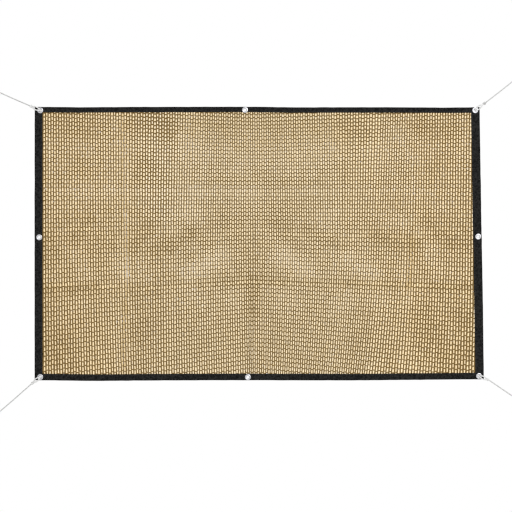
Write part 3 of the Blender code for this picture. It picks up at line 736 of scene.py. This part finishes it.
def chain_legs(i):
    """The two legs of chain i, each a three-sided tube: its rings of points, and their shades."""
    shown = np.flatnonzero(kept[i])
    if len(shown) < SHORTEST_CHAIN:
        return []
    run = slice(max(0, shown[0] - 1), min(len(levels), shown[-1] + 2))
    x, z = held_in_tape(x_grid[i, run], z_grid[i, run])
    crossing = leg_off[run] < LEGS_CROSS_BELOW
    turns = 2 * math.pi * np.arange(3) / 3
    legs = []
    for side in (-1.0, 1.0):
        off = leg_off[run] * (1.0 + LEG_OFF_UNEVEN * draw.standard_normal(len(x)))
        leg_x = x + side * off * spread[i]
        leg_y = y_grid[i, run] - leg_front[run] + side * CROSSING_DEEP * crossing
        uneven = 1.0 + YARN_UNEVEN * draw.standard_normal(len(x))
        half_wide = leg_half_wide[run] * spread[i] * close_grid[i, run] * uneven
        angle = turns + LEG_TWIST * np.cumsum(draw.standard_normal(len(x)))[:, None]
        ring_x = leg_x[:, None] + half_wide[:, None] * np.cos(angle)
        ring_y = leg_y[:, None] + LEG_HALF_THICK * np.sin(angle)
        ring = np.stack((ring_x, ring_y, np.repeat(z[:, None], 3, axis=1)), axis=2)
        legs.append((ring, np.repeat(leg_shade[run, None], 3, axis=1)))
    return legs


def laid_in_row(r, first, last):
    """The yarn laid through row r from chain first to chain last. It steps up and down by turns."""
    at = r * len(LOOP)
    inner = np.flatnonzero(kept[first : last + 1, at]) + first
    if len(inner) < 2:
        return []
    if inner[0] > first or first == 0:
        inner = np.concatenate(([max(0, inner[0] - 1)], inner))
    if inner[-1] < last and inner[-1] + 1 < len(columns):
        inner = np.append(inner, inner[-1] + 1)
    x, z = held_in_tape(x_grid[inner, at], z_grid[inner, at])
    steps = np.where(inner[:-1] % 2, 0.5, -0.5) * ROW_ZIGZAG * ROW_PITCH
    level = (z[1:] + z[:-1]) / 2 + steps + INLAY_WANDER * draw.standard_normal(len(x) - 1)
    reach = INLAY_REACH * (x[1:] - x[:-1])
    between = np.stack((x[:-1] + reach, x[1:] - reach), axis=1)
    laid_x = np.concatenate((x[:1], between.ravel(), x[-1:]))
    laid_y = np.interp(laid_x, x, y_grid[inner, at]) + INLAY_BACK
    laid_z = np.concatenate((z[:1], np.repeat(level, 2), z[-1:]))
    close = np.interp(laid_x, x, close_grid[inner, at] / row_tall[inner, at])
    half_tall = INLAY_TALL / 2 * close * (1.0 + YARN_UNEVEN * draw.standard_normal(len(laid_x)))
    corners = [
        (laid_x, laid_y + back * INLAY_THICK / 2, laid_z + up * half_tall) for back, up in INLAY_SECTION
    ]
    ring = np.array(corners).transpose(2, 0, 1)
    return [(ring, np.full(ring.shape[:2], INLAY_SHADE))]


def pale_yarns(i):
    """The two flat yarns between chain i and the next, held under the chains, with their slit."""
    both = np.flatnonzero(kept[i] | kept[i + 1])
    if len(both) < len(LOOP):
        return []
    both = np.unique(both // len(LOOP)) * len(LOOP)
    both = np.append(both, min(both[-1] + len(LOOP), len(levels) - 1))
    y = (y_grid[i, both] + y_grid[i + 1, both]) / 2 + PALE_BACK
    z = (z_grid[i, both] + z_grid[i + 1, both]) / 2
    off = SLIT_OFF * draw.standard_normal(len(both))
    middle = (x_grid[i, both] + x_grid[i + 1, both]) / 2 + off
    flat = summed(FOLDS, middle, z)
    loose = 1.0 + SLIT_WHEN_LOOSE * looseness(middle, z) - FLAT_SLIT * flat
    uneven = 1.0 + SLIT_UNEVEN * draw.standard_normal(len(both))
    half_slit = SLIT / 2 * spread[i] * np.clip(loose * uneven, *SLIT_SHARES)
    yarns = []
    for chain, side in ((i, -1.0), (i + 1, 1.0)):
        held, z_held = held_in_tape(x_grid[chain, both] - side * UNDER_CHAIN * spread[i], z)
        free, z_free = held_in_tape(middle + side * half_slit, z)
        toned = PALE_TONES_SPREAD * draw.random(len(both)) + FLAT_TONE * flat
        shown = np.flatnonzero(side * (held - free) > PALE_LEAST_WIDE)
        if len(shown) < PALE_LEAST_POINTS:
            continue
        corners = [
            (held, y - PALE_RIM_FORWARD, z_held),
            (free, y, z_free),
            ((held + free) / 2, y + PALE_THICK, z_free),
        ]
        run = slice(shown[0], shown[-1] + 1)
        # The pale lengths' tones carry painted shade under the chains and painted light beside the
        # slits.
        yarns.append((np.array(corners).transpose(2, 0, 1)[run], toned[run, None] + PALE_PAINTED_SHADES))
    return yarns


def face_outwards(obj):
    shape = bmesh.new()
    shape.from_mesh(obj.data)
    bmesh.ops.recalc_face_normals(shape, faces=shape.faces)
    shape.to_mesh(obj.data)
    shape.free()


band_ends = np.linspace(0, len(columns) - 1, BAND_COUNT + 1).round().astype(int)
for band, (first, last) in enumerate(zip(band_ends, band_ends[1:])):
    chains = range(first, last + (band == BAND_COUNT - 1))
    tubes = [leg for i in chains for leg in chain_legs(i)]
    tubes += [laid for r in range(len(rows)) for laid in laid_in_row(r, first, last)]
    tan_tubes = len(tubes)
    tubes += [pale for i in range(first, last) for pale in pale_yarns(i)]
    points = np.concatenate([ring.reshape(-1, 3) for ring, _ in tubes])
    faces, pale_faces = [], []
    start = 0
    for k, (ring, _) in enumerate(tubes):
        sides = tube_faces(start, len(ring), 3)
        faces += sides
        pale_faces += [k >= tan_tubes] * len(sides)
        start += 3 * len(ring)
    knit = new_mesh(f"net_band_{band + 1}", points, faces, tan_yarn)
    knit.data.materials.append(pale_yarn)
    knit.data.polygons.foreach_set("material_index", np.array(pale_faces, dtype=np.int32))
    knit.data.polygons.foreach_set("use_smooth", np.logical_not(pale_faces))
    shade = knit.data.attributes.new("shade", "FLOAT", "POINT")
    shade.data.foreach_set("value", np.concatenate([shades.ravel() for _, shades in tubes]))
    face_outwards(knit)
    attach(knit, "root")
    if band == 0:
        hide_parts("net_panel")
    wide = float(points[:, 0].max() - points[:, 0].min())

# Binding. Black woven tape, folded over the net's edge so that it lies on both faces, and sewn
# through. The side lengths run the full height, and the top and bottom ones butt against them.
# Round holes are punched for the eyelets.
NET_THICK = 1.2 * MM
TAPE_THICK = 3.4 * MM
FOLD_DEEP = 1.7 * MM
FOLD_BEND = 0.9
FOLD_ANGLES = (0.2, 1.57)
EDGE_ROUND = 0.5 * MM
STITCH_EVERY = 6.7 * MM
STITCH_IN = 3.2 * MM
STITCH_PULL = 0.22 * MM
PULL_BETWEEN = 0.65
PULL_SWING = 0.35
DIP_BEFORE_SEAM = 1.6 * MM
DIP_AFTER_SEAM = 1.5 * MM
TAPE_WAVER = 0.35 * MM
WAVER_EVERY = 6
OUTER_WAVER = 0.5
BUTT_TUCK = 0.6 * MM
HOLE_R = 5.55 * MM
HOLE_SIDES = 28
PUNCH_LONG = 20.0 * MM
TWILL_PITCH = 4.2 * MM
CHEVRON_HALF = 5.0 * MM
TWILL_IN_TONES = 0.12
TAPE_BLACK = (0.011, 0.011, 0.011)
TAPE_TONES = ((0.0025, 0.0025, 0.0025), (0.0190, 0.0188, 0.0182))
SIDE_EYELETS = (
    ("top_middle", (-0.0472, -0.0108)),
    ("middle_left", (-0.7377, -0.4381)),
    ("middle_right", (0.7351, -0.4358)),
    ("bottom_middle", (-0.0375, -0.9073)),
)
eyelet_places = dict(SIDE_EYELETS + tuple((corner[0], corner[1]) for corner in CORNERS))


def tape_section(wide):
    """Points across a folded tape: distance in from its outer edge, depth, and how much the
    stitches pull it in. The fold is round, and its two layers hold the net between them."""
    half = TAPE_THICK / 2
    slot = NET_THICK / 2 + GAP
    seam = wide - STITCH_IN
    bend = FOLD_BEND * half
    face = [
        (bend * (1.0 - math.cos(angle)), -half * math.sin(angle), 0.0)
        for angle in np.linspace(*FOLD_ANGLES, 5)
    ]
    face += [
        ((bend + seam) / 2, -half, 0.1),
        (seam - DIP_BEFORE_SEAM, -half, 0.4),
        (seam, -half, 1.0),
        (seam + DIP_AFTER_SEAM, -half, 0.35),
        (wide - EDGE_ROUND, -half, 0.5),
        (wide, -half + EDGE_ROUND, 0.3),
        (wide, -slot, 0.0),
        (FOLD_DEEP, -slot, 0.0),
    ]
    return face + [(inwards, -depth, pull) for inwards, depth, pull in reversed(face)]


def end_tape_place(edge, inward_sign):
    """How to find a point of the top or bottom tape, by its share of the length and how far in."""
    def place(share, inwards):
        level = edge_at(edge, 0.0) + inward_sign * inwards
        left = edge_at(LEFT_EDGE, level) + LEFT_TAPE_WIDE - BUTT_TUCK
        right = edge_at(RIGHT_EDGE, level) - RIGHT_TAPE_WIDE + BUTT_TUCK
        x = left + share * (right - left)
        return x, edge_at(edge, x) + inward_sign * inwards

    return place


def side_tape_place(edge, inward_sign):
    """How to find a point of a side tape, in the same way."""
    def place(share, inwards):
        level = share * edge_at(BOTTOM_EDGE, edge[0][1])
        x = edge_at(edge, level) + inward_sign * inwards
        low = edge_at(BOTTOM_EDGE, x)
        high = edge_at(TOP_EDGE, x)
        return x, high + share * (low - high)

    return place


tape_finish = new_material("binding_tape", TAPE_BLACK, roughness=0.85, specular=0.06)
along_tape, across_tape = own_uv(tape_finish)
chevron = worked_out(tape_finish, "PINGPONG", across_tape, CHEVRON_HALF)
slanted = worked_out(tape_finish, "ADD", along_tape, chevron)
turned = worked_out(tape_finish, "MULTIPLY", slanted, 2 * math.pi / TWILL_PITCH)
twill = worked_out(tape_finish, "SINE", turned)
speckle = add_noise(tape_finish, object_place(tape_finish), scale=170.0, detail=4.0)
woven = worked_out(tape_finish, "MULTIPLY_ADD", twill, TWILL_IN_TONES, speckle)
toned = add_tones(tape_finish, woven, TAPE_TONES, ends=(0.38, 0.62))
feed(tape_finish, toned, woven, strength=0.6, deep=0.25 * MM)

# Each tape: its name, how wide it shows, where its points lie, its length and its eyelets.
TAPES = (
    ("tape_top", TOP_TAPE_WIDE, end_tape_place(TOP_EDGE, -1), 1.43, ("top_middle",)),
    ("tape_bottom", BOTTOM_TAPE_WIDE, end_tape_place(BOTTOM_EDGE, 1), 1.44, ("bottom_middle",)),
    ("tape_left", LEFT_TAPE_WIDE, side_tape_place(LEFT_EDGE, 1), 0.917,
     ("top_left", "middle_left", "bottom_left")),
    ("tape_right", RIGHT_TAPE_WIDE, side_tape_place(RIGHT_EDGE, -1), 0.914,
     ("top_right", "middle_right", "bottom_right")),
)
for name, wide, place, length, holes in TAPES:
    section = tape_section(wide)
    stations = 2 * round(length / STITCH_EVERY) + 1
    share = np.linspace(0.0, 1.0, stations)
    swing = PULL_SWING * np.cos(2 * math.pi * share * (stations - 1) / 2)
    pulled = STITCH_PULL * (PULL_BETWEEN - swing)
    bends = stations // WAVER_EVERY
    bent = draw.standard_normal((2, bends + 2))
    at_inner, at_outer = (np.interp(share * bends, np.arange(bends + 2), row) for row in bent)
    rings = np.empty((stations, len(section), 3))
    uv = np.empty((stations, len(section), 2))
    across = 0.0
    for k, (inwards, depth, pull) in enumerate(section):
        if k:
            across += math.hypot(inwards - section[k - 1][0], depth - section[k - 1][1])
        in_slot = abs(depth) < NET_THICK and inwards > wide / 2
        outer_share = OUTER_WAVER * at_outer * (1.0 - inwards / wide)
        moved = 0.0 if in_slot else TAPE_WAVER * (at_inner * inwards / wide + outer_share)
        x, z = place(share, inwards + moved)
        rings[:, k, 0] = x
        rings[:, k, 1] = depth - np.sign(depth) * pull * pulled
        rings[:, k, 2] = z
        uv[:, k, 0] = share * length
        uv[:, k, 1] = across
    faces = tube_faces(0, stations, len(section))
    sewn = new_mesh(f"{name}_woven", rings.reshape(-1, 3), faces, tape_finish, uv.reshape(-1, 2))
    face_outwards(sewn)
    for hole in holes:
        x, z = eyelet_places[hole]
        bpy.ops.object.select_all(action="DESELECT")
        bpy.ops.mesh.primitive_cylinder_add(
            vertices=HOLE_SIDES,
            radius=HOLE_R,
            depth=PUNCH_LONG,
            location=(x, 0.0, z),
            rotation=(math.radians(90.0), 0.0, 0.0),
        )
        punch = bpy.context.object
        bpy.ops.object.select_all(action="DESELECT")
        sewn.select_set(True)
        bpy.context.view_layer.objects.active = sewn
        cut = sewn.modifiers.new("hole", "BOOLEAN")
        cut.object = punch
        cut.operation = "DIFFERENCE"
        cut.solver = "EXACT"
        bpy.ops.object.modifier_apply(modifier=cut.name)
        bpy.data.objects.remove(punch)
    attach(sewn, "root")
    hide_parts(name)

# Stitches. One row of heavy black thread near the tape's inner edge goes through both layers and
# the net between them, so it shows on both faces. The thread dips into the tape at each end.
THREAD_R = 0.42 * MM
THREAD_SQUARE = ((1.0, 0.0), (0.0, 1.0), (-1.0, 0.0), (0.0, -1.0))
THREAD_BLACK = (0.030, 0.030, 0.032)
THREAD_TONES = ((0.018, 0.018, 0.019), (0.042, 0.042, 0.045))
STITCH_LONG = 5.0 * MM
STITCH_LEAN = 0.06
AHEAD_SHARE = 0.001
CLEAR_OF_EYELET = 10.4 * MM

# One stitch on one face: share of its length from its middle, how high its thread's middle stands
# over the pulled-in tape, and share of the thread's thickness.
STITCH_RINGS = (
    (-0.5, -0.36 * MM, 0.7),
    (-0.34, 0.20 * MM, 1.0),
    (0.0, 0.32 * MM, 1.0),
    (0.34, 0.20 * MM, 1.0),
    (0.5, -0.36 * MM, 0.7),
)

thread = new_material("sewing_thread", THREAD_BLACK, roughness=0.5, specular=0.3)
wave = add_node(thread, "TexWave", {"Vector": object_place(thread), "Scale": 420.0, "Distortion": 1.5})
wave.bands_direction = "DIAGONAL"
plies = wave.outputs["Fac"]
feed(thread, add_tones(thread, plies, THREAD_TONES), plies, strength=0.5, deep=0.1 * MM)
for name, wide, place, length, holes in TAPES:
    count = round(length / STITCH_EVERY)
    share = (np.arange(count) + 0.5) / count
    x, z = place(share, wide - STITCH_IN)
    ahead_x, ahead_z = place(share + AHEAD_SHARE, wide - STITCH_IN)
    run = np.hypot(ahead_x - x, ahead_z - z)
    dx, dz = (ahead_x - x) / run, (ahead_z - z) / run
    clear = np.ones(count, dtype=bool)
    for eyelet in eyelet_places.values():
        clear &= np.hypot(x - eyelet[0], z - eyelet[1]) > CLEAR_OF_EYELET
    points, faces = [], []
    for k in np.flatnonzero(clear):
        lean = STITCH_LEAN * draw.standard_normal()
        for face in (-1.0, 1.0):
            start = len(points)
            for along, lift, size in STITCH_RINGS:
                cx = x[k] + along * STITCH_LONG * (dx[k] - lean * dz[k])
                cz = z[k] + along * STITCH_LONG * (dz[k] + lean * dx[k])
                cy = face * (TAPE_THICK / 2 - STITCH_PULL + lift)
                r = THREAD_R * size
                for a, b in THREAD_SQUARE:
                    points.append((cx - dz[k] * a * r, cy + b * r, cz + dx[k] * a * r))
            faces += tube_faces(start, len(STITCH_RINGS), 4)
    sewing = new_mesh(f"{name}_stitches", points, faces, thread)
    face_outwards(sewing)
    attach(sewing, "root")

# Eyelets. Bright pressed metal, in two halves rolled together through the tape: a domed flange on
# each face and a barrel between them.
EYELET_HOLE_R = 4.75 * MM
EYELET_BARREL_R = 5.25 * MM
EYELET_R = 9.75 * MM
EYELET_INNER = TAPE_THICK / 2 + GAP
EYELET_STEPS = 44
METAL_GREY = (0.52, 0.52, 0.54)
METAL_TONES = ((0.58, 0.58, 0.60), (0.44, 0.44, 0.46))

# One half's outline, from the barrel outwards and back over the dome into the hole: radius, and
# height over the flange's inner face.
EYELET_DOME = (
    (EYELET_BARREL_R, 0.0),
    (9.30 * MM, 0.0),
    (9.65 * MM, 0.06 * MM),
    (EYELET_R, 0.25 * MM),
    (9.60 * MM, 0.42 * MM),
    (9.15 * MM, 0.61 * MM),
    (8.50 * MM, 0.78 * MM),
    (7.80 * MM, 0.88 * MM),
    (7.10 * MM, 0.90 * MM),
    (6.40 * MM, 0.84 * MM),
    (5.80 * MM, 0.68 * MM),
    (5.30 * MM, 0.42 * MM),
    (4.90 * MM, 0.06 * MM),
    (EYELET_HOLE_R, -0.5 * MM),
)

metal = new_material("eyelet_metal", METAL_GREY, roughness=0.3, metallic=1.0)
wear = add_noise(metal, object_place(metal), scale=420.0, detail=5.0)
duller = add_node(
    metal, "MapRange", {"Value": wear, "From Min": 0.3, "From Max": 0.7, "To Min": 0.22, "To Max": 0.38}
)
metal_shader = metal.node_tree.nodes["Principled BSDF"]
metal.node_tree.links.new(duller.outputs["Result"], metal_shader.inputs["Roughness"])
toned = add_tones(metal, wear, METAL_TONES, ends=(0.3, 0.7))
feed(metal, toned, wear, strength=0.2, deep=0.05 * MM)
section = [(radius, -(EYELET_INNER + depth)) for radius, depth in EYELET_DOME]
section += [(radius, -depth) for radius, depth in reversed(section)]
bpy.ops.object.select_all(action="DESELECT")
bpy.ops.mesh.primitive_circle_add(vertices=len(section), radius=1.0 * MM)
eyelet = bpy.context.object
for point, (radius, depth) in zip(eyelet.data.vertices, section):
    point.co = (radius, depth, 0.0)
bpy.ops.object.mode_set(mode="EDIT")
bpy.ops.mesh.select_all(action="SELECT")
bpy.ops.mesh.spin(
    steps=EYELET_STEPS, angle=2 * math.pi, center=(0.0, 0.0, 0.0), axis=(0.0, 1.0, 0.0)
)
bpy.ops.mesh.select_all(action="SELECT")
bpy.ops.mesh.remove_doubles(threshold=0.01 * MM)
bpy.ops.mesh.normals_make_consistent(inside=False)
bpy.ops.object.mode_set(mode="OBJECT")
eyelet.data.shade_smooth()
eyelet.data.materials.append(metal)
for name, (x, z) in eyelet_places.items():
    pressed = eyelet.copy()
    pressed.data = eyelet.data.copy()
    pressed.name = f"eyelet_{name}_pressed"
    pressed.data.name = pressed.name
    pressed.data.transform(Matrix.Translation((x, 0.0, z)))
    bpy.context.scene.collection.objects.link(pressed)
    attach(pressed, "root")
    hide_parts(f"eyelet_{name}")
bpy.data.objects.remove(eyelet)

# Floor and light. A pale floor lies below the net. The studio is evenly white all round, with a
# large soft light in front and to the right.
FLOOR_R = 2.9
FLOOR_Z = -2.0
FLOOR_POINTS = 96
FLOOR_PALE = (0.9, 0.9, 0.9)
LIGHT_AT = (3.1, -7.0, 2.6)
LIGHT_AIM = (0.0, 0.0, -0.45)
LIGHT_WIDE = 4.0
LIGHT_WATTS = 310.0
PIXEL_FILTER = 1.3

bpy.ops.object.select_all(action="DESELECT")
bpy.ops.mesh.primitive_circle_add(
    vertices=FLOOR_POINTS, radius=FLOOR_R, fill_type="NGON", location=(0.0, 0.0, FLOOR_Z)
)
floor = bpy.context.object
floor.name = "floor"
floor.data.materials.append(new_material("pale_floor", FLOOR_PALE, roughness=0.7))

world = bpy.data.worlds.new("studio")
world.use_nodes = True
background = world.node_tree.nodes["Background"]
background.inputs["Color"].default_value = (1.0, 1.0, 1.0, 1.0)
background.inputs["Strength"].default_value = 1.0
bpy.context.scene.world = world
bpy.ops.object.light_add(type="AREA", location=LIGHT_AT)
light = bpy.context.object
light.name = "key_light"
light.data.shape = "DISK"
light.data.size = LIGHT_WIDE
light.data.energy = LIGHT_WATTS
light.rotation_euler = (Vector(LIGHT_AIM) - light.location).to_track_quat("-Z", "Y").to_euler()
bpy.context.scene.view_settings.view_transform = "Standard"
bpy.context.scene.cycles.filter_width = PIXEL_FILTER
